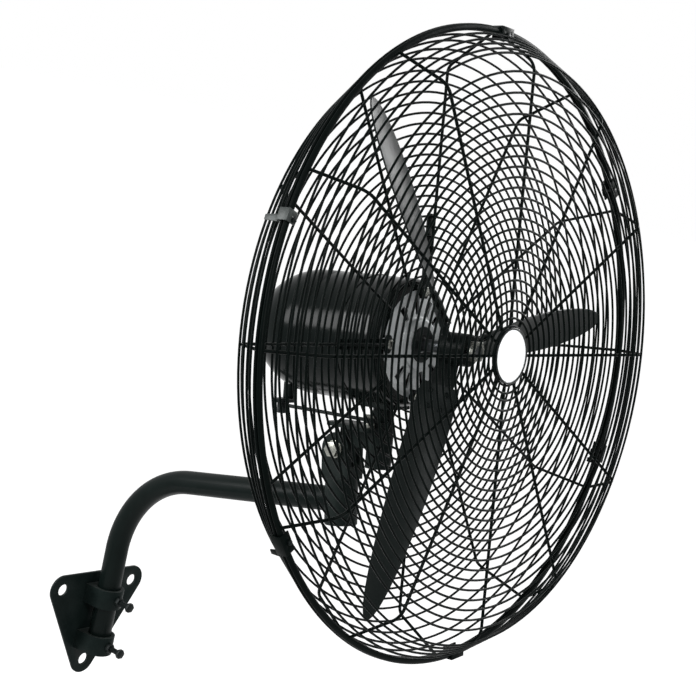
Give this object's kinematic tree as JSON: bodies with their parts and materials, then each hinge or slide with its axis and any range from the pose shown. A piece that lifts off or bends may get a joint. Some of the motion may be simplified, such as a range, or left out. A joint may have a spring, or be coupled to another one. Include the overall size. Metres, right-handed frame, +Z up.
{
  "type": "wall mounted fan",
  "caption": "Wall bracket, swinging tube arm and tilting neck that carry an oscillating motor with a round wire guard and sheet metal blades.",
  "frame": {"origin": "centre of the bolt circle on the back face of the wall plate", "axes": "+Z up, +Y into the wall, the fan blows towards -Y, +X to the right of someone who faces the fan"},
  "size_m": [0.7888, 0.6645, 1.0571],
  "materials": {
    "bracket_paint": "near-black satin paint over steel plate",
    "arm_paint": "near-black satin paint over steel pipe",
    "casting_paint": "near-black satin paint over a rough casting",
    "motor_gloss_black": "glossy black paint",
    "bell_grey": "bare grey die casting",
    "guard_paint": "near-black satin coating on wire",
    "hub_paint": "black paint over a casting",
    "blade_paint": "black paint over sheet metal",
    "bright_zinc": "bright zinc plating",
    "bearing_steel": "ground steel",
    "core_steel": "laminated electrical steel",
    "crank_steel": "black finished steel",
    "winding_copper": null,
    "gear_brass": "machined brass",
    "black_rubber": "matte rubber",
    "badge_black": "gloss black plastic",
    "badge_white": "plain white disc"
  },
  "bodies": {
    "bracket": {"wall_plate": "bracket_paint", "upper_collar": "bracket_paint", "lower_collar": "bracket_paint", "clamp_nuts": "crank_steel", "clamp_screws": "crank_steel"},
    "arm": {"arm_tube": "arm_paint", "neck_post": "casting_paint", "tilt_washers": "bright_zinc", "tilt_bolt": "bright_zinc", "tilt_nut": "bright_zinc"},
    "tilt_head": {"swivel_housing": "casting_paint", "link_stud": "bright_zinc"},
    "head": {"neck_saddle": "casting_paint", "spindle_washer": "bright_zinc", "spindle_nut": "bright_zinc", "motor_shell": "motor_gloss_black", "front_bell": "bell_grey", "front_bearing": "bearing_steel", "rear_shield": "bell_grey", "rear_bearing": "bearing_steel", "stator_core": "core_steel", "stator_windings": "winding_copper", "gear_case": "bell_grey", "gear_case_lid": "bell_grey", "rear_cover": "motor_gloss_black", "cable_grommet": "black_rubber", "front_guard_face": "guard_paint", "front_guard_side": "guard_paint", "rear_guard_face": "guard_paint", "rear_guard_side": "guard_paint", "guard_straps": "guard_paint", "strap_screws": "bright_zinc", "badge_ring": "badge_black", "badge": "badge_white", "guard_clips": "guard_paint", "clip_screws": "crank_steel"},
    "rotor": {"motor_shaft": "bearing_steel", "rotor_core": "core_steel", "motor_worm": "bearing_steel", "fan_hub": "hub_paint", "blade_1": "blade_paint", "blade_2": "blade_paint", "blade_3": "blade_paint", "hub_nut": "bright_zinc"},
    "gear_spindle": {"gear_spindle": "gear_brass"},
    "crank": {"crank_gear": "gear_brass", "crank": "crank_steel"},
    "link": {"link": "crank_steel", "link_knob": "crank_steel"}
  },
  "joints": [
    {"name": "arm_swivel", "type": "hinge", "parent": "bracket", "child": "arm", "pos_m": [0, -0.027, 0], "axis": [0, 0, 1], "range_deg": [-45, 45]},
    {"name": "head_tilt", "type": "hinge", "parent": "arm", "child": "tilt_head", "pos_m": [0, -0.38852, 0.38423], "axis": [1, 0, 0], "range_deg": [-20, 20]},
    {"name": "oscillation", "type": "hinge", "parent": "tilt_head", "child": "head", "pos_m": [0, -0.44001, 0.43688], "axis": [0, 0.1771, 0.9842], "range_deg": [-45, 45]},
    {"name": "fan_spin", "type": "hinge", "parent": "head", "child": "rotor", "pos_m": [0, -0.53958, 0.56281], "axis": [0, -0.9842, 0.1771], "continuous": true},
    {"name": "gear_spin", "type": "hinge", "parent": "head", "child": "gear_spindle", "pos_m": [0.0203, -0.29157, 0.51818], "axis": [0, 0.1771, 0.9842], "continuous": true},
    {"name": "crank_turn", "type": "hinge", "parent": "head", "child": "crank", "pos_m": [0, -0.28231, 0.42111], "axis": [0, 0.1771, 0.9842], "range_deg": [-95, 95]},
    {"name": "link_swing", "type": "hinge", "parent": "tilt_head", "child": "link", "pos_m": [-0.026, -0.4412, 0.43029], "axis": [0, 0.1771, 0.9842], "range_deg": [-50, 50]}
  ],
  "couplings": [
    {"joint": "gear_spin", "follows": "fan_spin", "ratio": 0.045455},
    {"joint": "crank_turn", "follows": "oscillation", "ratio": -2},
    {"joint": "link_swing", "follows": "oscillation", "ratio": 1}
  ]
}
